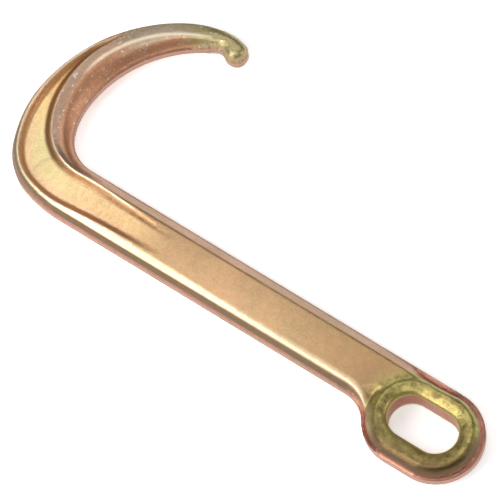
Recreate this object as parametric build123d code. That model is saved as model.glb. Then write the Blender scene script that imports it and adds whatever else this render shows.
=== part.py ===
from build123d import *
import math
import os

# A one-piece drop-forged J hook for tie-down and tow chain, lying flat.
# Drawing frame: X along the shank, from the back of the bend at 0 to the eye at the far end,
# Y across the shank towards the tip, Z through the thickness with the parting plane at 0.

# Driving sizes, in millimetres and degrees
shank_width = 20.3
thickness = 13.6
trim_height = 3.0  # straight sheared band left along the parting line
draft_angle = 9.0
face_edge_radius = 2.9

back_start = 32.7  # where the straight back edge of the shank ends
back_arcs = ((50, 18), (22, 46), (42, 32), (62, 49), (43, 23), (17, 30))
throat_start = 32.6  # where the straight throat edge of the shank ends
throat_arcs = ((14, 66), (27, 26), (46, 58))
bead_radius = 4.2
bead_turn = 200.0

slot_length = 26.0
slot_width = 15.6
eye_width = 33.6
eye_centre_x = 181.0
neck_radius = 13.0
rim_radius = 3.2

pocket_clearance = 1.0
pocket_draft = 31.0
# The pocket in each face, station by station round the bend: its throat side, its back side
# and its depth. It fades into the shank at one end and narrows to nothing up the arm.
pocket_stations = (
    ((72.0, 4.3), (72.0, -5.0), -0.3),
    ((52.0, 5.3), (52.0, -5.9), 1.4),
    ((34.0, 5.8), (34.0, -6.6), 2.4),
    ((26.0, 6.0), (25.0, -6.5), 2.7),
    ((20.5, 7.6), (16.5, -4.5), 2.8),
    ((16.0, 11.2), (10.8, -0.3), 2.8),
    ((12.7, 15.5), (6.8, 5.8), 2.8),
    ((10.2, 20.5), (4.1, 12.7), 2.8),
    ((8.6, 26.0), (2.8, 20.5), 2.7),
    ((8.1, 32.0), (2.8, 28.0), 2.4),
    ((8.5, 38.5), (4.1, 35.2), 2.0),
    ((10.0, 45.6), (6.4, 42.6), 1.4),
    ((14.2, 56.6), (13.6, 56.1), -0.3),
)

half_width = shank_width / 2
half_trim = trim_height / 2
half_thickness = thickness / 2
eye_centre_y = half_width - eye_width / 2
slot_spread = slot_length - slot_width  # between the two end centres of the slot


def arc_chain(start, arcs):
    """Tangent arcs that set off to the left and turn clockwise, as (radius, angle) pairs."""
    edges = []
    point = Vector(*start)
    heading = Vector(-1, 0)
    for radius, angle in arcs:
        arc = JernArc(point, heading, radius, -angle)
        edges.append(arc)
        point = arc @ 1
        heading = arc % 1
    return edges


def bar_face():
    """Shank, bend, arm and beaded tip in plan, cut off square at the eye's centre."""
    back = arc_chain((back_start, -half_width), back_arcs)
    throat = arc_chain((throat_start, half_width), throat_arcs)
    bead = JernArc(back[-1] @ 1, back[-1] % 1, bead_radius, -bead_turn)
    notch = TangentArc(bead @ 1, throat[-1] @ 1, tangent=bead % 1)
    shank_end = Line((eye_centre_x, half_width), (eye_centre_x, -half_width))
    throat_edge = Line(throat[0] @ 0, shank_end @ 0)
    back_edge = Line(shank_end @ 1, back[0] @ 0)
    return make_face(Wire([*back, bead, notch, *throat, throat_edge, shank_end, back_edge]))


def plan_face():
    """The whole plan shape, with the eye's obround blended into the shank at the neck."""
    eye = Pos(eye_centre_x, eye_centre_y) * SlotCenterToCenter(slot_spread, eye_width)
    outline = bar_face() + eye
    corners = outline.vertices().filter_by(lambda v: abs(v.Y + half_width) < 0.01)
    blended = fillet(corners.sort_by(Axis.X)[-1], neck_radius)
    return make_face(blended.face().outer_wire())


def forged_blank():
    """A straight trim band with a drafted half on each side, and rounded face edges."""
    outline = plan_face()
    band = extrude(outline, half_trim, both=True)
    half = extrude(Pos(0, 0, half_trim) * outline, half_thickness - half_trim, taper=draft_angle)
    blank = band + half + mirror(half, Plane.XY)
    faces = blank.faces().filter_by(Axis.Z).sort_by(Axis.Z)
    return fillet(faces[0].edges() + faces[-1].edges(), face_edge_radius)


def chain_slot(blank):
    """The blank with the eye's slot punched straight through and its rims rounded."""
    slot = Pos(eye_centre_x, eye_centre_y) * SlotCenterToCenter(slot_spread, slot_width)
    pierced = blank - extrude(slot, thickness, both=True)
    faces = pierced.faces().filter_by(Axis.Z).sort_by(Axis.Z)
    rims = faces[0].inner_wires()[0].edges() + faces[-1].inner_wires()[0].edges()
    return fillet(rims, rim_radius)


def pocket_section(throat_side, back_side, depth):
    """Upright trapezium across the pocket, reaching above the face of the forging."""
    throat = Vector(*throat_side, half_thickness)
    back = Vector(*back_side, half_thickness)
    slope = (back - throat).normalized() * math.tan(math.radians(pocket_draft))
    up = Vector(0, 0, pocket_clearance) - slope * pocket_clearance
    up_back = Vector(0, 0, pocket_clearance) + slope * pocket_clearance
    down = Vector(0, 0, -depth) + slope * depth
    down_back = Vector(0, 0, -depth) - slope * depth
    return make_face(Polyline(throat + up, throat + down, back + down_back, back + up_back, close=True))


def hook_forging():
    """The finished forging, with a pocket in each face of the bend."""
    cutter = loft([pocket_section(*station) for station in pocket_stations], ruled=True)
    return chain_slot(forged_blank()) - cutter - mirror(cutter, Plane.XY)


def on_the_bench(solid):
    """The solid moved so that the origin is centred under its bounding box."""
    box = solid.bounding_box()
    return Pos(-box.center().X, -box.center().Y, -box.min.Z) * solid


os.makedirs("parts", exist_ok=True)
export_step(on_the_bench(hook_forging()), "parts/hook_forging.step")
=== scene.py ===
import math

import bpy
import numpy as np
from mathutils import Matrix, Vector
from mathutils.geometry import delaunay_2d_cdt
from mathutils.kdtree import KDTree


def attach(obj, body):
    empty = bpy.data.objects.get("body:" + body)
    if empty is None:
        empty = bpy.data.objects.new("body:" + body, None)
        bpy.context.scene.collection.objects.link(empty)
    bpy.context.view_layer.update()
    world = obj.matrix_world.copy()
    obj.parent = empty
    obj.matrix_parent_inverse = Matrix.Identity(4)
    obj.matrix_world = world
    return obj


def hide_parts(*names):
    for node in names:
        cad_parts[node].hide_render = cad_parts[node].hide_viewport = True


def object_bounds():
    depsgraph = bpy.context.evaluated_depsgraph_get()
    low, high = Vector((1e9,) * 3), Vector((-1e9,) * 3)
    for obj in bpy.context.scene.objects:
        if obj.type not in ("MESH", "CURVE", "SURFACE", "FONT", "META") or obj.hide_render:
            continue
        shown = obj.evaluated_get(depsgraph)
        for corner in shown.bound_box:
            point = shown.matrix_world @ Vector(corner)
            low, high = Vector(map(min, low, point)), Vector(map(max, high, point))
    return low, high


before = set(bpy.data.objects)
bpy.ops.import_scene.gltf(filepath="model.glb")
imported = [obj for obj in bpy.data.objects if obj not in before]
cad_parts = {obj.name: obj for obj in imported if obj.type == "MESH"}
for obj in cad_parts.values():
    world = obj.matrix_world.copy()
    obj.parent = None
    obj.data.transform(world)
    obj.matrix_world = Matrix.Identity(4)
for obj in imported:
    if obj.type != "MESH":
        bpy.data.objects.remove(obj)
cadLow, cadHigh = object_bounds()
print("frame loaded, CAD box", tuple(round(v, 4) for v in (cadHigh - cadLow)))

mm = 0.001

# a long lens, looking down on the flat hook from its eye and back side
cameraSetup = {
    "azimuth": 45.4,
    "elevation": 66.9,
    "roll": -11.9,
    "aim": (-6.92, -11.61, 6.8),  # mm, in the row frame
    "distance": 3.2,
    "frameWidth": 0.170,
    "sensor": 36.0,
    "clip": (0.5, 20.0),
}


def makeCamera():
    azimuth = math.radians(cameraSetup["azimuth"])
    elevation = math.radians(cameraSetup["elevation"])
    back = Vector((math.sin(azimuth) * math.cos(elevation),
                   -math.cos(azimuth) * math.cos(elevation), math.sin(elevation)))
    levelRight = Vector((0, 0, 1)).cross(back).normalized()
    levelUp = back.cross(levelRight)
    roll = math.radians(cameraSetup["roll"])
    right = levelRight * math.cos(roll) + levelUp * math.sin(roll)
    up = back.cross(right)
    data = bpy.data.cameras.new("hookCamera")
    data.sensor_width = cameraSetup["sensor"]
    data.lens = cameraSetup["sensor"] * cameraSetup["distance"] / cameraSetup["frameWidth"]
    data.clip_start, data.clip_end = cameraSetup["clip"]
    camera = bpy.data.objects.new("hookCamera", data)
    aim = Vector(cameraSetup["aim"]) * mm
    turn = Matrix((right, up, back)).transposed().to_4x4()
    camera.matrix_world = Matrix.Translation(aim + back * cameraSetup["distance"]) @ turn
    bpy.context.scene.collection.objects.link(camera)
    bpy.context.scene.camera = camera


makeCamera()
print("camera placed")


# plan of the hook, in millimetres: X along the shank from the back of the bend, Y towards the tip
hookPlan = {
    "halfShank": 10.15,
    "backStart": 32.7,
    "backArcs": ((50, 18), (22, 46), (42, 32), (62, 49), (43, 23), (17, 30)),
    "throatStart": 32.6,
    "throatArcs": ((14, 66), (27, 26), (46, 58)),
    "beadRadius": 4.2,
    "beadTurn": 200.0,
    "eyeX": 181.0,
    "eyeRadius": 16.8,
    "slotRadius": 7.8,
    "slotSpread": 10.4,
    "neckRadius": 13.0,
    "halfThick": 6.8,
    "edgeStep": 0.2,  # spacing of the points that distances are measured from
    "pitch": 0.46,  # spacing of the mesh points
    "rowRatio": 0.866,
    "gridClearance": 0.62,  # least gap beside a fixed point, in pitches
    "guideClearance": 0.2,
    "guideJoin": 1.5,  # longest step joined along a guide, in pitches
}
eyeY = hookPlan["halfShank"] - hookPlan["eyeRadius"]


def clockwiseArc(start, heading, radius, degrees, step):
    # points after the start, and the heading at the end
    turn = math.radians(degrees)
    centre = start + radius * np.array((math.sin(heading), -math.cos(heading)))
    count = max(2, int(round(radius * turn / step)))
    first = math.atan2(*(start - centre)[::-1])
    angles = first - turn * np.arange(1, count + 1) / count
    return centre + radius * np.column_stack((np.cos(angles), np.sin(angles))), heading - turn


def arcChain(start, arcs, step):
    points = [np.array([start], float)]
    heading = math.pi
    for radius, degrees in arcs:
        piece, heading = clockwiseArc(points[-1][-1], heading, radius, degrees, step)
        points.append(piece)
    return np.vstack(points), heading


def straight(a, b, step):
    # points after a, up to and with b
    a, b = np.array(a, float), np.array(b, float)
    count = max(1, int(round(np.linalg.norm(b - a) / step)))
    return a + (b - a) * (np.arange(1, count + 1) / count)[:, None]


def tangentArc(start, heading, end, step):
    # the arc from start to end that sets off along heading
    chord = end - start
    direction = np.array((math.cos(heading), math.sin(heading)))
    across = direction[0] * chord[1] - direction[1] * chord[0]
    radius = chord @ chord / (2 * across)
    centre = start + radius * np.array((-direction[1], direction[0]))
    first = math.atan2(*(start - centre)[::-1])
    last = math.atan2(*(end - centre)[::-1])
    sweep = last - first
    if radius > 0:
        sweep %= 2 * math.pi
    else:
        sweep = -((-sweep) % (2 * math.pi))
    count = max(3, int(round(abs(radius * sweep) / step)))
    angles = first + sweep * np.arange(1, count + 1) / count
    return centre + abs(radius) * np.column_stack((np.cos(angles), np.sin(angles)))


def outerOutline(step):
    half = hookPlan["halfShank"]
    back, heading = arcChain((hookPlan["backStart"], -half), hookPlan["backArcs"], step)
    throat = arcChain((hookPlan["throatStart"], half), hookPlan["throatArcs"], step)[0]
    bead, heading = clockwiseArc(back[-1], heading, hookPlan["beadRadius"], hookPlan["beadTurn"], step)
    notch = tangentArc(bead[-1], heading, throat[-1], step)
    eyeX, radius, spread = hookPlan["eyeX"], hookPlan["eyeRadius"], hookPlan["slotSpread"]
    farX, nearX = eyeX + spread / 2, eyeX - spread / 2
    farEnd = clockwiseArc(np.array((farX, half)), 0.0, radius, 180, step)[0]
    under = straight(farEnd[-1], (nearX, eyeY - radius), step)
    neck = hookPlan["neckRadius"]
    rise = eyeY - (-half - neck)
    run = math.sqrt((radius + neck) ** 2 - rise ** 2)
    turn = math.degrees(math.atan2(run, rise))
    nearEnd = clockwiseArc(under[-1], math.pi, radius, turn, step)[0]
    neckCentre = np.array((nearX - run, -half - neck))
    first = math.atan2(*(nearEnd[-1] - neckCentre)[::-1])
    count = int(neck * (math.pi / 2 - first) / step)
    angles = first + (math.pi / 2 - first) * np.arange(1, count + 1) / count
    neckArc = neckCentre + neck * np.column_stack((np.cos(angles), np.sin(angles)))
    return np.vstack((back, bead, notch, throat[::-1][1:], straight(throat[0], (farX, half), step),
                      farEnd, under, nearEnd, neckArc, straight(neckArc[-1], back[0], step)[:-1]))


def slotOutline(radius, step):
    eyeX, spread = hookPlan["eyeX"], hookPlan["slotSpread"]
    farX, nearX = eyeX + spread / 2, eyeX - spread / 2
    farEnd = clockwiseArc(np.array((farX, eyeY + radius)), 0.0, radius, 180, step)[0]
    under = straight(farEnd[-1], (nearX, eyeY - radius), step)
    nearEnd = clockwiseArc(under[-1], math.pi, radius, 180, step)[0]
    return np.vstack((farEnd, under, nearEnd, straight(nearEnd[-1], (farX, eyeY + radius), step)))


def edgeLine(start, arcs, y):
    # one long edge from the eye to the tip, with its length measured from the start of the bend
    step = hookPlan["edgeStep"]
    chain = arcChain((start, y), arcs, step)[0]
    run = straight((hookPlan["eyeX"], y), (start, y), step)
    line = np.vstack((run, chain[1:]))
    length = np.concatenate(([0], np.cumsum(np.linalg.norm(np.diff(line, axis=0), axis=1))))
    return line, length - length[len(run) - 1]


halfShank = hookPlan["halfShank"]
throatLine, throatLength = edgeLine(hookPlan["throatStart"], hookPlan["throatArcs"], halfShank)
backLine, backLength = edgeLine(hookPlan["backStart"], hookPlan["backArcs"], -halfShank)


def treeOf(points):
    tree = KDTree(len(points))
    for index, point in enumerate(points):
        tree.insert((point[0], point[1], 0), index)
    tree.balance()
    return tree


def clearOf(tree, points, distance):
    # the points that are farther than the distance from all those in the tree
    return points[[tree.find((p[0], p[1], 0))[2] > distance for p in points]]


def nearestOn(line, length, points):
    # distance to the line and the length along it, for each point
    tree = treeOf(line)
    nearest = np.array([tree.find((p[0], p[1], 0))[1] for p in points])
    best = np.full(len(points), np.inf)
    along = np.zeros(len(points))
    for shift in (-1, 0):
        a = np.clip(nearest + shift, 0, len(line) - 2)
        segment = line[a + 1] - line[a]
        size = np.linalg.norm(segment, axis=1)
        part = np.clip(((points - line[a]) * segment).sum(1) / size ** 2, 0, 1)
        distance = np.linalg.norm(points - line[a] - segment * part[:, None], axis=1)
        closer = distance < best
        best = np.where(closer, distance, best)
        along = np.where(closer, length[a] + part * size, along)
    return best, along


def inside(loop, points):
    result = np.zeros(len(points), bool)
    x, y = points[:, 0], points[:, 1]
    for a, b in zip(loop, np.roll(loop, -1, axis=0)):
        if a[1] == b[1]:
            continue
        crosses = (a[1] > y) != (b[1] > y)
        result ^= crosses & (x < (b[0] - a[0]) * (y - a[1]) / (b[1] - a[1]) + a[0])
    return result


# how the forging rises from its parting line, in millimetres
hookSection = {
    "trimHalf": 1.7,
    "trimStep": 0.34,
    "flankSlope": 1.3,
    "nearFlankSlope": 3.0,
    "nearChamferSlope": 0.75,
    "nearChamferWidth": (2.6, 3.8),  # by the eye, by the bend
    "chamferBlend": 0.7,
    "faceEdgeBlend": 0.9,
    "noseBlend": 0.3,
    "roundBackBlend": 0.6,
    "roundBackShare": 0.8,  # how much of the way to the crest is rounded
    "crown": 0.25,
    "pocketRun": 2.7,
    "shankFrom": 60,  # X past which both long edges are straight
    "neckFrom": 120,  # X past which the near flank follows the outline of the neck
    "eyeFrom": 140,  # X past which the eye has its own shape
    # where each change starts and ends, as lengths along the back edge or, for the nose, the throat edge
    "chamferRun": (-110, -20),
    "noseRun": (-14, 10),
    "roundBackRun": (-2, 24),
    "armFallRun": (76, 94),
    "tipRun": (118, 132),
    "tipRound": 3.4,
    "tipEdge": 0.9,
    # length along the throat edge, then the distance and the height of the line where the face turns
    # down into the throat wall
    "ridge": ((-14, 3), (0, 3.5), (20, 5), (40, 7), (55, 6), (76, 3)),
    "ridgeHeight": ((-14, 6.3), (15, 5.7), (38, 6.5), (76, 6.3)),
    # length along the throat edge, crest's distance from it
    "throatCrest": ((-42, 6), (-20, 5), (0, 4.5), (15, 7.5), (30, 9.5), (50, 10), (75, 7.5)),
    # length along the back edge, crest's distance from it
    "backCrest": ((-42, 5), (-15, 4), (10, 2.5), (30, 2.5), (60, 2), (90, 1.5), (120, 2)),
    # length along the back edge, pocket's depth
    "pocketDepth": ((-42, 0), (-25, 1), (0, 2.7), (14, 2.8), (28, 2.8), (42, 2.8), (70, 2), (92, 0)),
    # length along the back edge, height of the top
    "armTop": ((84, 6.8), (100, 6.5), (118, 6), (137, 5.5)),
    # distances from the slot's middle, heights
    "ringCrest": 12.2,
    "ringHeight": 6.7,
    "ringFoot": 15.2,
    "ringFootHeight": 2.2,
    "ringShift": 0.6,
    "rimHeight": 4.2,
    "rimRound": 0.28,
    "innerDrop": 1.5,
    "shelfSlope": 0.36,
    "shelfWidth": 3.2,
    "topGap": 0.02,  # kept clear under the full thickness
}


def keyed(name, at):
    # a smooth curve through the named pairs, level beyond both ends
    x, y = np.array(hookSection[name], float).T
    slopes = np.gradient(y, x)
    at = np.clip(at, x[0], x[-1])
    i = np.clip(np.searchsorted(x, at) - 1, 0, len(x) - 2)
    gap = x[i + 1] - x[i]
    t = (at - x[i]) / gap
    held = y[i] * (1 + 2 * t) * (1 - t) ** 2 + y[i + 1] * t * t * (3 - 2 * t)
    return held + gap * t * (1 - t) * (slopes[i] * (1 - t) - slopes[i + 1] * t)


def smoothStep(low, high, value):
    t = np.clip((value - low) / (high - low), 0, 1)
    return t * t * (3 - 2 * t)


def softMin(a, b, k):
    h = np.clip(0.5 + 0.5 * (b - a) / k, 0, 1)
    return b + (a - b) * h - k * h * (1 - h)


def softMax(a, b, k):
    return -softMin(-a, -b, k)


def survey(points, outline):
    # everything that the height and the finish are worked out from, for each plan point
    dThroat, sThroat = nearestOn(throatLine, throatLength, points)
    dBack, sBack = nearestOn(backLine, backLength, points)
    x, y = points[:, 0], points[:, 1]
    onShank = x > hookSection["shankFrom"]
    dThroat = np.where(onShank, halfShank - y, dThroat)
    dBack = np.where(onShank, halfShank + y, dBack)
    closed = np.vstack((outline, outline[:1]))
    dOut = nearestOn(closed, np.arange(len(closed), dtype=float), points)[0]
    dBack = np.where((x > hookSection["neckFrom"]) & (y < 0), dOut, dBack)
    sThroat = np.where(onShank, hookPlan["throatStart"] - x, sThroat)
    sBack = np.where(onShank, hookPlan["backStart"] - x, sBack)
    offset = np.maximum(np.abs(x - hookPlan["eyeX"]) - hookPlan["slotSpread"] / 2, 0)
    return {
        "x": x,
        "y": y,
        "dThroat": dThroat,
        "sThroat": sThroat,
        "dBack": dBack,
        "sBack": sBack,
        "dOut": dOut,
        "radial": np.hypot(offset, y - eyeY),
        "footRadial": np.hypot(offset, y - eyeY + hookSection["ringShift"]),
    }


def throatSide(at, armTop):
    # a drafted flank along the shank, which swells into a bulging nose round the bend
    section = hookSection
    trim, dThroat, sThroat = section["trimHalf"], at["dThroat"], at["sThroat"]
    flank = trim + section["flankSlope"] * (dThroat - section["trimStep"])
    nose = smoothStep(*section["noseRun"], sThroat)
    ridge = keyed("ridge", sThroat)
    ridgeHeight = np.minimum(keyed("ridgeHeight", sThroat), armTop)
    crest = keyed("throatCrest", sThroat)
    rise = np.clip(dThroat / ridge, 0, 1)
    wall = trim + (ridgeHeight - trim) * (1 - (1 - rise) ** 1.8) ** 0.9
    shoulder = np.clip((dThroat - ridge) / np.maximum(crest - ridge, 0.2), 0, 1)
    fall = 0.2 * np.clip(dThroat - ridge, 0, 8) * smoothStep(*section["armFallRun"], at["sBack"])
    noseTop = wall + (armTop - ridgeHeight) * shoulder ** 1.3 - fall
    return flank * (1 - nose) + noseTop * nose, nose, ridge, crest


def backSide(at, armTop, backCrest):
    # a steep flank under a chamfer along the shank, and a rounder one outside the pocket and up the arm
    section = hookSection
    trim, step, dBack, sBack = section["trimHalf"], section["trimStep"], at["dBack"], at["sBack"]
    flank = trim + section["nearFlankSlope"] * (dBack - step)
    byEye, byBend = section["nearChamferWidth"]
    chamferWidth = byEye + (byBend - byEye) * smoothStep(*section["chamferRun"], sBack)
    chamfer = hookPlan["halfThick"] - section["nearChamferSlope"] * (chamferWidth - dBack)
    flank = softMin(flank, chamfer, section["chamferBlend"])
    rounded = smoothStep(*section["roundBackRun"], sBack)
    rise = np.clip((dBack - step) / (backCrest * section["roundBackShare"]), 0, 1)
    roundBack = trim + (armTop - trim) * np.sqrt(1 - (1 - rise) ** 2)
    return flank * (1 - rounded) + roundBack * rounded, rounded


def eyeRing(at):
    # the ring's inner slope, and the whole ring on its low shoulder
    section = hookSection
    radial, footRadial, slotRadius = at["radial"], at["footRadial"], hookPlan["slotRadius"]
    crest, top = section["ringCrest"], section["ringHeight"]
    foot, footTop = section["ringFoot"], section["ringFootHeight"]
    inner = np.clip((radial - slotRadius) / (crest - slotRadius), 0, 1)
    outer = np.clip((foot - footRadial) / (foot - crest), 0, 1)
    ringIn = top - section["innerDrop"] * (1 - inner) ** 1.6
    ringIn = ringIn - (ringIn - section["rimHeight"]) * np.exp(-(radial - slotRadius) / section["rimRound"])
    ringOut = footTop + (top - footTop) * np.sqrt(1 - (1 - outer) ** 2)
    ring = np.minimum(ringIn, ringOut)
    ring = np.where(footRadial > foot, footTop - 3 * (footRadial - foot), ring)
    beyondTrim = np.clip(at["dOut"] - section["trimStep"], 0, section["shelfWidth"])
    shelf = section["trimHalf"] + section["shelfSlope"] * beyondTrim
    shelf = np.where(radial < crest, -4.0, shelf)
    return ringIn, softMax(ring, shelf, 0.12)


def withEye(bar, at):
    # a raised ring on a low shoulder, with the shank's face running up to it
    section = hookSection
    x, radial = at["x"], at["radial"]
    faceEnd = 167 + 11 * smoothStep(-8, 2, at["y"])
    towardShank = smoothStep(faceEnd + 9, faceEnd - 13, x)
    dip = 0.6 * smoothStep(27, 14, radial) + 4 * smoothStep(14.5, 10.5, radial) + 9 * (1 - towardShank)
    bar = bar - np.where(x > section["neckFrom"], dip, 0)
    ringIn, eye = eyeRing(at)
    ringShare = smoothStep(section["ringFoot"] + 0.8, section["ringCrest"] - 0.7, radial)
    merged = bar * (1 - ringShare) + ringIn * ringShare
    joined = merged * towardShank + softMax(bar, eye, 0.2) * (1 - towardShank)
    return np.where(x > section["eyeFrom"], joined, bar)


def heights(at):
    section = hookSection
    trim, step, dOut, sBack = section["trimHalf"], section["trimStep"], at["dOut"], at["sBack"]
    armTop = keyed("armTop", sBack)
    backCrest = keyed("backCrest", sBack)
    throatHeight, nose, ridge, crest = throatSide(at, armTop)
    backHeight, rounded = backSide(at, armTop, backCrest)

    # the face between the two sides, very slightly crowned
    fromEdge = np.minimum(at["dThroat"], at["dBack"])
    crown = armTop - section["crown"] * np.clip(1 - fromEdge / halfShank, 0, 1) ** 2 * (1 - nose)
    blend = section["faceEdgeBlend"]
    bar = softMin(throatHeight, crown, blend * (1 - nose) + section["noseBlend"] * nose)
    bar = softMin(bar, backHeight, blend * (1 - rounded) + section["roundBackBlend"] * rounded)

    # the pocket
    gap = np.minimum(at["dThroat"] - crest, at["dBack"] - backCrest)
    pocket = 1 - (1 - np.clip(gap / section["pocketRun"], 0, 1)) ** 2
    pocketDepth = keyed("pocketDepth", sBack)
    bar = bar - np.maximum(pocketDepth, 0) * pocket

    # the beaded tip
    tip = smoothStep(*section["tipRun"], sBack)
    reach = np.clip(dOut / section["tipRound"], 0, 1)
    tipTop = section["tipEdge"] + (armTop - section["tipEdge"]) * np.sqrt(1 - (1 - reach) ** 2)
    bar = bar * (1 - tip) + tipTop * tip

    bar = withEye(bar, at)

    # the trimmed edge itself
    lip = trim * np.clip(dOut / step, 0, 1) ** 0.5 * 0.12 + trim * 0.88
    nearEdge = smoothStep(step * 1.8, step, dOut)
    z = bar * (1 - nearEdge) + lip * nearEdge
    z = np.where(at["radial"] < hookPlan["slotRadius"] + 0.01, section["rimHeight"], z)
    masks = {
        "hollow": pocket * np.clip(pocketDepth / 1.2, 0, 1) * (1 - tip),
        "gap": gap,
        "nose": nose,
        "ridge": ridge,
        "tip": tip,
        "crest": crest,
        "backCrest": backCrest,
    }
    return np.minimum(z, hookPlan["halfThick"] - section["topGap"]), masks


def pointsAt(line, length, stations):
    return np.column_stack([np.interp(stations, length, line[:, i]) for i in (0, 1)])


def offsetLine(line, length, distance, low, high, step, side):
    # a line at a distance (a number or a key list's name) inside an edge
    stations = np.arange(low, high, step)
    along = pointsAt(line, length, stations + 0.3) - pointsAt(line, length, stations - 0.3)
    along /= np.linalg.norm(along, axis=1)[:, None]
    normal = np.column_stack((-along[:, 1], along[:, 0])) * side
    offset = keyed(distance, stations) if isinstance(distance, str) else distance
    offset = np.broadcast_to(np.asarray(offset, float), stations.shape)
    return pointsAt(line, length, stations) + normal * offset[:, None]


def guideLines(pitch):
    # rows of points along the crests, the ridge, the trim and the eye, so that each stays crisp
    trimStep = hookSection["trimStep"]
    return [
        offsetLine(throatLine, throatLength, "throatCrest", -38, 55, pitch, 1),
        offsetLine(backLine, backLength, "backCrest", -38, 92, pitch, -1),
        offsetLine(throatLine, throatLength, "ridge", -10, 68, pitch, 1),
        offsetLine(throatLine, throatLength, trimStep, -150, 70, pitch, 1),
        offsetLine(backLine, backLength, trimStep, -115, 125, pitch, -1),
        slotOutline(hookPlan["slotRadius"] + 0.25, pitch),
        slotOutline(hookSection["ringFoot"], pitch),
    ]


def staggeredGrid(outline, pitch):
    low, high = outline.min(0), outline.max(0)
    rows = np.arange(low[1], high[1], pitch * hookPlan["rowRatio"])
    columns = np.arange(low[0], high[0], pitch)
    return np.vstack([np.column_stack((columns + (i % 2) * pitch / 2, np.full(len(columns), row)))
                      for i, row in enumerate(rows)])


def triangulatePlan(outline, slot):
    pitch = hookPlan["pitch"]

    def onPlan(points):
        return inside(outline, points) & ~inside(slot, points)

    guides = guideLines(pitch)
    grid = staggeredGrid(outline, pitch)
    fixed = treeOf(np.vstack((outline, slot, *guides)))
    grid = clearOf(fixed, grid[onPlan(grid)], pitch * hookPlan["gridClearance"])

    # the guides only add points where they are clear of each other and of the outline
    kept = [outline, slot]
    edges = []
    total = len(outline) + len(slot)
    for guide in guides:
        guide = clearOf(treeOf(np.vstack(kept)), guide[onPlan(guide)], hookPlan["guideClearance"])
        gaps = np.linalg.norm(np.diff(guide, axis=0), axis=1)
        joined = np.nonzero(gaps < pitch * hookPlan["guideJoin"])[0]
        edges += [(total + int(i), total + int(i) + 1) for i in joined]
        total += len(guide)
        kept.append(guide)
    points = np.vstack((*kept, grid))
    start = 0
    for loop in (outline, slot):
        count = len(loop)
        edges += [(start + i, start + (i + 1) % count) for i in range(count)]
        start += count
    result = delaunay_2d_cdt([Vector(p) for p in points], edges, [], 0, 1e-7, False)
    flat = np.array([tuple(v) for v in result[0]])
    triangles = np.array(result[2])
    triangles = triangles[onPlan(flat[triangles].mean(1))]

    # every triangle turned to face up, and unused points dropped
    a, b, c = flat[triangles[:, 0]], flat[triangles[:, 1]], flat[triangles[:, 2]]
    turn = (b[:, 0] - a[:, 0]) * (c[:, 1] - a[:, 1]) - (b[:, 1] - a[:, 1]) * (c[:, 0] - a[:, 0])
    triangles[turn < 0] = triangles[turn < 0][:, ::-1]
    used = np.unique(triangles)
    renumber = np.zeros(len(flat), int)
    renumber[used] = np.arange(len(used))
    return flat[used], renumber[triangles]


def rimEdges(triangles):
    seen = {}
    for a, b, c in triangles.tolist():
        for pair in ((a, b), (b, c), (c, a)):
            seen[pair] = True
    return [pair for pair in seen if (pair[1], pair[0]) not in seen]


# plating colours, with painted highlights and painted shade among them, eight-bit display values
tintsAndPaintedLight = {
    # the face's two tints grade it darker on the throat side and lighter on the back side: painted shading
    "faceThroat": (188, 154, 116),
    "faceBack": (214, 178, 136),
    "faceEye": (170, 138, 98),
    "pocketCorner": (238, 220, 166),
    "pocketShank": (248, 214, 160),
    "pocketLeft": (232, 200, 138),
    "pocketPink": (250, 206, 168),
    "pocketWall": (112, 70, 38),
    "backWall": (196, 138, 92),
    # painted dark shade, on the near flank and in the crease round the eye
    "flank": (86, 64, 38),
    "farFlank": (186, 150, 118),
    # a painted highlight along the chamfer of the near edge
    "nearEdge": (240, 214, 180),
    "noseWall": (194, 142, 110),
    "noseShoulder": (172, 142, 122),
    "arm": (192, 176, 154),
    "bead": (166, 158, 112),
    "ring": (180, 168, 102),
    # painted shade on the ring's near outer slope and lower part
    "ringOuterShade": (88, 64, 42),
    "ringFar": (170, 166, 96),
    "shoulder": (198, 138, 120),
    "slotWall": (168, 100, 76),
    "trim": (172, 130, 110),
    # painted highlight along the pocket's crests and the arm's ridge
    "crestHighlight": (255, 246, 222),
}


def linear(name):
    value = np.array(tintsAndPaintedLight[name]) / 255.0
    return np.where(value <= 0.04045, value / 12.92, ((value + 0.055) / 1.055) ** 2.4)


def blended(base, name, weight):
    return base * (1 - weight[:, None]) + linear(name) * weight[:, None]


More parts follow.
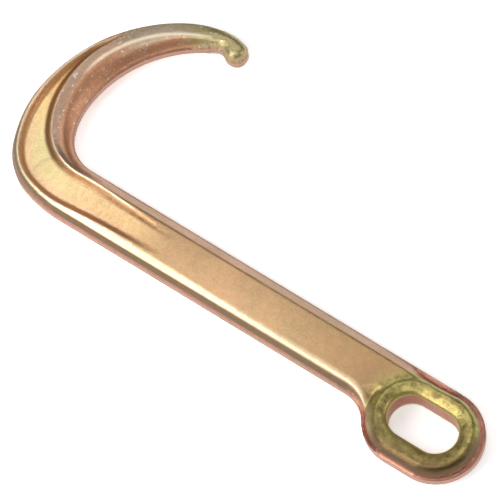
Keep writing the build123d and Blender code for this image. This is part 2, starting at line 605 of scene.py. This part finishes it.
def tintsAndPaintedLightOver(at, masks, z):
    # the pairs of numbers are where a tint starts and where it is full, in millimetres
    x, y, radial, footRadial = at["x"], at["y"], at["radial"], at["footRadial"]
    dThroat, dBack, dOut, sBack = at["dThroat"], at["dBack"], at["dOut"], at["sBack"]
    nose, hollow, ridge = masks["nose"], masks["hollow"], masks["ridge"]

    # the shank's face, darker towards the throat side and lighter towards the back side as painted shading,
    # and its flanks
    across = np.clip((dThroat - 3) / 14.0, 0, 1)
    colour = linear("faceThroat") * (1 - across[:, None]) + linear("faceBack") * across[:, None]
    colour = blended(colour, "faceEye", smoothStep(110, 160, x) * 0.8)
    colour = blended(colour, "farFlank", smoothStep(4.2, 3.6, dThroat) * (1 - nose))
    # a painted highlight along the chamfer of the near edge
    nearEdge = smoothStep(4.4, 3.2, dBack) * (x < 175) * smoothStep(40, 20, sBack)
    colour = blended(colour, "nearEdge", nearEdge * 0.7)
    # painted dark shade along the near flank and along the back edge of the bend and arm
    colour = blended(colour, "flank", smoothStep(2.0, 1.4, dBack) * smoothStep(60, 30, sBack) * 0.9)
    colour = blended(colour, "flank", smoothStep(1.2, 0.5, dBack) * smoothStep(20, 50, sBack) * 0.5)

    # the nose on the throat side of the bend
    wallPart = smoothStep(ridge + 0.5, ridge - 1.3, dThroat)
    colour = blended(colour, "noseShoulder", nose * (dThroat < masks["crest"]) * (1 - wallPart))
    colour = blended(colour, "noseWall", nose * wallPart)

    # the pocket's floor, then its two walls
    floor = np.tile(linear("pocketCorner"), (len(z), 1))
    floor = blended(floor, "pocketShank", smoothStep(12, -22, sBack))
    floor = blended(floor, "pocketLeft", smoothStep(34, 62, sBack))
    floor = blended(floor, "pocketPink", smoothStep(9, 5, dBack) * smoothStep(50, 35, sBack) * 0.7)
    colour = colour * (1 - hollow[:, None]) + floor * hollow[:, None]
    wallStart = smoothStep(0.1, 0.5, masks["gap"])
    throatWall = wallStart * smoothStep(2.9, 1.7, dThroat - masks["crest"])
    backWall = wallStart * smoothStep(2.8, 1.2, dBack - masks["backCrest"])
    inPocket = np.clip(hollow * 1.6, 0, 1)
    colour = blended(colour, "backWall", backWall * inPocket * 0.8)
    colour = blended(colour, "pocketWall", throatWall * inPocket * 0.85)

    # the arm and the beaded tip
    colour = blended(colour, "arm", smoothStep(80, 100, sBack) * 0.85 * smoothStep(2.5, 4.5, dThroat))
    colour = blended(colour, "bead", smoothStep(108, 122, sBack) * 0.9)

    # the eye's ring with painted shade on its near outer slope and lower part, its low shoulder, and
    # painted shade in the crease between them
    eyePart = (x > hookSection["eyeFrom"]) * 1.0
    colour = blended(colour, "ring", eyePart * smoothStep(19, 12, radial))
    outer = smoothStep(12.4, 13.6, footRadial) * smoothStep(164, 172, x)
    colour = blended(colour, "ringFar", eyePart * outer * smoothStep(-4, 2, y))
    # painted shade on the ring's near outer slope, and half as much on its lower part
    colour = blended(colour, "ringOuterShade", eyePart * outer * smoothStep(1, -5, y) * 0.85)
    lowerRingShade = smoothStep(9.5, 12, radial) * smoothStep(-6, -16, y)
    colour = blended(colour, "ringOuterShade", eyePart * lowerRingShade * 0.5)
    colour = blended(colour, "shoulder", eyePart * smoothStep(3.4, 2.6, z) * smoothStep(26, 18, radial))
    # painted shade in the crease between the ring and its shoulder
    creaseGap = (footRadial - hookSection["ringFoot"] + 0.1) / 0.35
    crease = np.exp(-creaseGap ** 2) * smoothStep(166, 172, x)
    colour = blended(colour, "flank", crease * eyePart * smoothStep(4, -4, y) * 0.9)
    return blended(colour, "trim", smoothStep(0.55, 0.3, dOut) * 0.9)


def skinMasks(at, masks):
    # what the material reads besides its tint: painted highlights along the crests and the ridge, the trim
    # band, pale grey specks on the nose and painted dark reflections on the ring
    gap, radial, sThroat = masks["gap"], at["radial"], at["sThroat"]
    pocketShare = np.clip(keyed("pocketDepth", at["sBack"]) / 1.6, 0, 1)
    # a painted highlight along the pocket's crests, and below it one along the ridge
    crestHighlight = np.exp(-(gap / 0.35) ** 2) * pocketShare ** 2
    ridgeGap = at["dThroat"] - masks["ridge"]
    ridgeHighlight = np.exp(-(ridgeGap / 0.8) ** 2) * smoothStep(28, 42, sThroat) * (1 - masks["tip"])
    return {
        "crestHighlight": np.maximum(crestHighlight, ridgeHighlight * 0.8),
        "trimBand": np.zeros(len(gap)),
        # pale grey specks on the nose
        "paleSpeckArea": masks["nose"] * smoothStep(6, 20, sThroat) * (gap < 0.3),
        # painted dark reflections in patches over the ring
        "darkReflectionPatches": (at["x"] > 150) * smoothStep(17, 14, radial) * smoothStep(8.2, 9.5, radial),
    }


wallRows = 6  # bands of faces from the upper edge to the lower one


def buildForging():
    # the upper face, its mirror image below and a wall between their edges
    outline = outerOutline(hookPlan["pitch"])
    slot = slotOutline(hookPlan["slotRadius"], hookPlan["pitch"])
    flat, triangles = triangulatePlan(outline, slot)
    at = survey(flat, outline)
    z, masks = heights(at)
    print("plan points", len(flat), "triangles", len(triangles))
    colour = tintsAndPaintedLightOver(at, masks, z)
    count = len(flat)
    rim = rimEdges(triangles)
    rimPoints = sorted({i for pair in rim for i in pair})
    place = {p: i for i, p in enumerate(rimPoints)}
    isSlot = at["radial"][rimPoints] < hookPlan["slotRadius"] + 0.5
    wallColour = np.where(isSlot[:, None], linear("slotWall"), linear("trim"))

    vertices = [np.column_stack((flat, z)), np.column_stack((flat, -z))]
    ids = [np.array(rimPoints)]
    total = 2 * count
    for row in range(1, wallRows):
        vertices.append(np.column_stack((flat[rimPoints], z[rimPoints] * (1 - 2 * row / wallRows))))
        ids.append(total + np.arange(len(rimPoints)))
        total += len(rimPoints)
    ids.append(np.array(rimPoints) + count)
    faces = [tuple(f) for f in triangles.tolist() + (triangles[:, ::-1] + count).tolist()]
    for a, b in rim:
        a, b = place[a], place[b]
        faces += [tuple(int(i) for i in (upper[a], lower[a], lower[b], upper[b]))
                  for upper, lower in zip(ids, ids[1:])]

    # set down so that the plan's middle is the CAD box's middle
    vertices = np.vstack(vertices)
    planMiddle = (outline.min(0) + outline.max(0)) / 2
    rowFrame = np.column_stack(((vertices[:, 0] - planMiddle[0]) * mm + (cadLow.x + cadHigh.x) / 2,
                                (vertices[:, 1] - planMiddle[1]) * mm + (cadLow.y + cadHigh.y) / 2,
                                vertices[:, 2] * mm + (cadLow.z + cadHigh.z) / 2))
    mesh = bpy.data.meshes.new("hookForging")
    mesh.from_pydata(rowFrame.tolist(), [], faces)
    tint = mesh.attributes.new("tintAndPaintedLight", "FLOAT_COLOR", "POINT")
    colours = np.vstack((colour, colour, *[wallColour] * (wallRows - 1)))
    tint.data.foreach_set("color", np.column_stack((colours, np.ones(total))).astype(np.float32).ravel())
    wallValues = {"trimBand": np.where(isSlot, 0.0, 1.0)}
    for name, values in skinMasks(at, masks).items():
        wall = wallValues.get(name, np.zeros(len(rimPoints)))
        layer = mesh.attributes.new(name, "FLOAT", "POINT")
        layered = np.concatenate((values, values, *[wall] * (wallRows - 1)))
        layer.data.foreach_set("value", layered.astype(np.float32))
    mesh.polygons.foreach_set("use_smooth", np.ones(len(mesh.polygons), bool))
    mesh.update()
    mesh.validate()
    forging = bpy.data.objects.new("chainHook", mesh)
    bpy.context.scene.collection.objects.link(forging)
    return forging


# gold chromate over zinc on a forged skin, with painted highlights and painted dark reflections mixed into
# its colour
goldZinc = {
    "metallic": 0.66,
    "roughness": 0.36,
    "mottleScale": 45.0,
    "peelScale": 480.0,
    "grainScale": 1500.0,
    "darkReflectionScale": 330.0,
    "paleSpeckScale": 700.0,
    "warmCast": (1.08, 0.93, 0.88, 1),
    "oliveCast": (0.93, 0.95, 0.86, 1),
    # the colour of the painted dark reflections on the ring
    "darkReflection": (0.13, 0.085, 0.03, 1),
    "paleSpeck": (0.62, 0.60, 0.55, 1),
    "peelHeight": 2.0,  # against the grain's height of 1
    "bumpStrength": 0.6,
    "bumpDistance": 0.00015,
}


def makeGoldZinc():
    material = bpy.data.materials.new("goldZincWithPaintedLight")
    material.use_nodes = True
    nodes, links = material.node_tree.nodes, material.node_tree.links
    nodes.clear()
    coordinates = nodes.new("ShaderNodeTexCoord")

    def noise(scale, detail, roughness=0.5):
        made = nodes.new("ShaderNodeTexNoise")
        made.inputs["Scale"].default_value = goldZinc[scale]
        made.inputs["Detail"].default_value = detail
        made.inputs["Roughness"].default_value = roughness
        links.new(coordinates.outputs["Object"], made.inputs["Vector"])
        return made.outputs["Fac"]

    def attribute(name, output="Fac"):
        made = nodes.new("ShaderNodeAttribute")
        made.attribute_name = name
        return made.outputs[output]

    def mapRange(source, fromMin, fromMax, toMin, toMax):
        made = nodes.new("ShaderNodeMapRange")
        made.inputs["From Min"].default_value = fromMin
        made.inputs["From Max"].default_value = fromMax
        made.inputs["To Min"].default_value = toMin
        made.inputs["To Max"].default_value = toMax
        links.new(source, made.inputs["Value"])
        return made.outputs["Result"]

    def product(a, b):
        made = nodes.new("ShaderNodeMath")
        made.operation = "MULTIPLY"
        links.new(a, made.inputs[0])
        links.new(b, made.inputs[1])
        return made.outputs[0]

    def mixColour(mode, factor, a, b):
        made = nodes.new("ShaderNodeMix")
        made.data_type = "RGBA"
        made.blend_type = mode
        for socket, value in ((made.inputs[0], factor), (made.inputs[6], a), (made.inputs[7], b)):
            if isinstance(value, (int, float, tuple)):
                socket.default_value = value
            else:
                links.new(value, socket)
        return made.outputs[2]

    mottle = noise("mottleScale", 5.0, 0.6)
    peel = noise("peelScale", 3.0)
    grain = noise("grainScale", 4.0, 0.65)

    # the tint, clouded and speckled
    clouds = mapRange(mottle, 0.35, 0.7, 0.0, 1.0)
    cast = mixColour("MIX", clouds, goldZinc["warmCast"], goldZinc["oliveCast"])
    colour = mixColour("MULTIPLY", 0.8, attribute("tintAndPaintedLight", "Color"), cast)
    colour = mixColour("MULTIPLY", 0.7, colour, mapRange(grain, 0.3, 0.7, 0.8, 1.14))
    colour = mixColour("MULTIPLY", 0.6, colour, mapRange(peel, 0.3, 0.7, 0.9, 1.08))

    # painted dark reflections on the ring, pale grey specks on the nose and painted highlights along the
    # crests
    # painted dark reflections in patches over the ring
    darkReflection = mapRange(noise("darkReflectionScale", 4.0, 0.7), 0.42, 0.62, 0.0, 0.75)
    colour = mixColour("MIX", product(darkReflection, attribute("darkReflectionPatches")), colour, goldZinc["darkReflection"])
    # pale grey specks on the nose
    paleSpeck = mapRange(noise("paleSpeckScale", 3.0, 0.6), 0.6, 0.68, 0.0, 0.8)
    colour = mixColour("MIX", product(paleSpeck, attribute("paleSpeckArea")), colour, goldZinc["paleSpeck"])
    # painted highlight along the crests and the ridge
    crestHighlightShare = mapRange(attribute("crestHighlight"), 0.2, 1.0, 0.0, 0.75)
    colour = mixColour("MIX", crestHighlightShare, colour, (*linear("crestHighlight"), 1))

    bumpHeight = nodes.new("ShaderNodeMath")
    bumpHeight.operation = "MULTIPLY_ADD"
    links.new(peel, bumpHeight.inputs[0])
    bumpHeight.inputs[1].default_value = goldZinc["peelHeight"]
    links.new(grain, bumpHeight.inputs[2])
    bump = nodes.new("ShaderNodeBump")
    bump.inputs["Strength"].default_value = goldZinc["bumpStrength"]
    bump.inputs["Distance"].default_value = goldZinc["bumpDistance"]
    links.new(bumpHeight.outputs[0], bump.inputs["Height"])

    shader = nodes.new("ShaderNodeBsdfPrincipled")
    shader.inputs["Metallic"].default_value = goldZinc["metallic"]
    roughness = mapRange(mottle, 0.3, 0.7, goldZinc["roughness"] - 0.06, goldZinc["roughness"] + 0.08)
    links.new(colour, shader.inputs["Base Color"])
    links.new(roughness, shader.inputs["Roughness"])
    links.new(bump.outputs["Normal"], shader.inputs["Normal"])
    output = nodes.new("ShaderNodeOutputMaterial")
    links.new(shader.outputs["BSDF"], output.inputs["Surface"])
    return material


forgedSkin = {
    "lumpSize": 0.0035,
    "lumpDepth": 0.00006,
    "trimMarkSize": 0.0011,
    "trimMarkDepth": 0.00012,
    "seed": 7,
}


def makeSkinTree():
    tree = bpy.data.node_groups.new("forgedSkin", "GeometryNodeTree")
    interface = tree.interface
    interface.new_socket("Geometry", in_out="INPUT", socket_type="NodeSocketGeometry")
    for name in ("lumpSize", "lumpDepth", "trimMarkSize", "trimMarkDepth"):
        interface.new_socket(name, in_out="INPUT", socket_type="NodeSocketFloat")
    interface.new_socket("seed", in_out="INPUT", socket_type="NodeSocketInt")
    interface.new_socket("finish", in_out="INPUT", socket_type="NodeSocketMaterial")
    interface.new_socket("Geometry", in_out="OUTPUT", socket_type="NodeSocketGeometry")
    nodes, links = tree.nodes, tree.links
    given = nodes.new("NodeGroupInput")
    result = nodes.new("NodeGroupOutput")

    def worked(operation, a, b):
        made = nodes.new("ShaderNodeMath")
        made.operation = operation
        for socket, value in zip(made.inputs, (a, b)):
            if isinstance(value, (int, float)):
                socket.default_value = value
            else:
                links.new(value, socket)
        return made.outputs[0]

    def lumps(sizeSocket, detail):
        made = nodes.new("ShaderNodeTexNoise")
        made.noise_dimensions = "4D"
        links.new(worked("DIVIDE", 1.0, given.outputs[sizeSocket]), made.inputs["Scale"])
        links.new(given.outputs["seed"], made.inputs["W"])
        made.inputs["Detail"].default_value = detail
        return made.outputs["Fac"]

    band = nodes.new("GeometryNodeInputNamedAttribute")
    band.data_type = "FLOAT"
    band.inputs["Name"].default_value = "trimBand"
    skin = worked("MULTIPLY", lumps("lumpSize", 2.0), given.outputs["lumpDepth"])
    marks = worked("MULTIPLY", lumps("trimMarkSize", 1.0), given.outputs["trimMarkDepth"])
    marks = worked("MULTIPLY", marks, band.outputs["Attribute"])
    inward = worked("MULTIPLY", worked("ADD", skin, marks), -1.0)
    normal = nodes.new("GeometryNodeInputNormal")
    scaled = nodes.new("ShaderNodeVectorMath")
    scaled.operation = "SCALE"
    links.new(normal.outputs["Normal"], scaled.inputs[0])
    links.new(inward, scaled.inputs["Scale"])
    moved = nodes.new("GeometryNodeSetPosition")
    links.new(given.outputs["Geometry"], moved.inputs["Geometry"])
    links.new(scaled.outputs["Vector"], moved.inputs["Offset"])
    realized = nodes.new("GeometryNodeRealizeInstances")
    links.new(moved.outputs["Geometry"], realized.inputs["Geometry"])
    painted = nodes.new("GeometryNodeSetMaterial")
    links.new(realized.outputs["Geometry"], painted.inputs["Geometry"])
    links.new(given.outputs["finish"], painted.inputs["Material"])
    links.new(painted.outputs["Geometry"], result.inputs["Geometry"])
    return tree


def skinOver(piece, material):
    tree = makeSkinTree()
    modifier = piece.modifiers.new("forgedSkin", "NODES")
    modifier.node_group = tree
    for item in tree.interface.items_tree:
        if item.in_out == "INPUT" and item.name in forgedSkin:
            modifier[item.identifier] = forgedSkin[item.name]
        elif item.in_out == "INPUT" and item.name == "finish":
            modifier[item.identifier] = material
    evaluated = piece.evaluated_get(bpy.context.evaluated_depsgraph_get())
    finished = bpy.data.meshes.new_from_object(evaluated)
    piece.modifiers.remove(modifier)
    piece.data = finished


hook = buildForging()
print("forging built, faces", len(hook.data.polygons))
plate = makeGoldZinc()
skinOver(hook, plate)
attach(hook, "root")
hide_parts("hook_forging")
print("forging skinned and plated")


# floor and soft light
studio = {
    "floorSize": 6.0,
    "floorGap": 0.0002,
    "floorRoughness": 0.9,
    "floorColour": (0.95, 0.95, 0.95, 1),
    "skyLow": 0.16,
    "skyHigh": 1.25,
    "floorGlow": 0.45,  # a lit table, so that the object casts almost no shadow
    # name, direction that the light comes from, distance, size, power
    "lights": (
        ("overhead", (-0.28, 0.27, 0.92), 1.3, 0.8, 3.6),
        ("nearRim", (-0.28, -0.52, 0.80), 1.3, 0.62, 7.0),
        ("nearLow", (-0.28, -0.88, 0.38), 1.3, 0.7, 9.0),
        ("farRim", (0.1, 0.62, 0.78), 1.3, 0.3, 2.0),
        ("cameraSide", (0.3, -0.35, 0.9), 1.5, 0.5, 4.0),
        ("throatFill", (0.85, 0.40, 0.36), 1.4, 0.7, 4.0),
    ),
}


def makeStudio():
    size = studio["floorSize"]
    mesh = bpy.data.meshes.new("studioFloor")
    corners = ((-size, -size), (size, -size), (size, size), (-size, size))
    mesh.from_pydata([(x, y, cadLow.z - studio["floorGap"]) for x, y in corners], [], [(0, 1, 2, 3)])
    floor = bpy.data.objects.new("studioFloor", mesh)
    bpy.context.scene.collection.objects.link(floor)
    material = bpy.data.materials.new("paleFloor")
    material.use_nodes = True
    shader = material.node_tree.nodes["Principled BSDF"]
    shader.inputs["Base Color"].default_value = studio["floorColour"]
    shader.inputs["Roughness"].default_value = studio["floorRoughness"]
    shader.inputs["Emission Color"].default_value = (1, 1, 1, 1)
    shader.inputs["Emission Strength"].default_value = studio["floorGlow"]
    mesh.materials.append(material)
    for name, direction, distance, width, power in studio["lights"]:
        data = bpy.data.lights.new(name, "AREA")
        data.shape = "SQUARE"
        data.size = width
        data.energy = power
        lamp = bpy.data.objects.new(name, data)
        direction = Vector(direction).normalized()
        lamp.location = direction * distance
        lamp.rotation_mode = "QUATERNION"
        lamp.rotation_quaternion = direction.to_track_quat("Z", "Y")
        bpy.context.scene.collection.objects.link(lamp)
    world = bpy.data.worlds.new("softRoom")
    world.use_nodes = True
    nodes, links = world.node_tree.nodes, world.node_tree.links
    direction = nodes.new("ShaderNodeTexCoord")
    split = nodes.new("ShaderNodeSeparateXYZ")
    climb = nodes.new("ShaderNodeMapRange")
    climb.inputs["To Min"].default_value = studio["skyLow"]
    climb.inputs["To Max"].default_value = studio["skyHigh"]
    links.new(direction.outputs["Generated"], split.inputs["Vector"])
    links.new(split.outputs["Z"], climb.inputs["Value"])
    links.new(climb.outputs["Result"], nodes["Background"].inputs["Strength"])
    bpy.context.scene.world = world


makeStudio()
bpy.context.scene.view_settings.view_transform = "Standard"
print("studio lit")
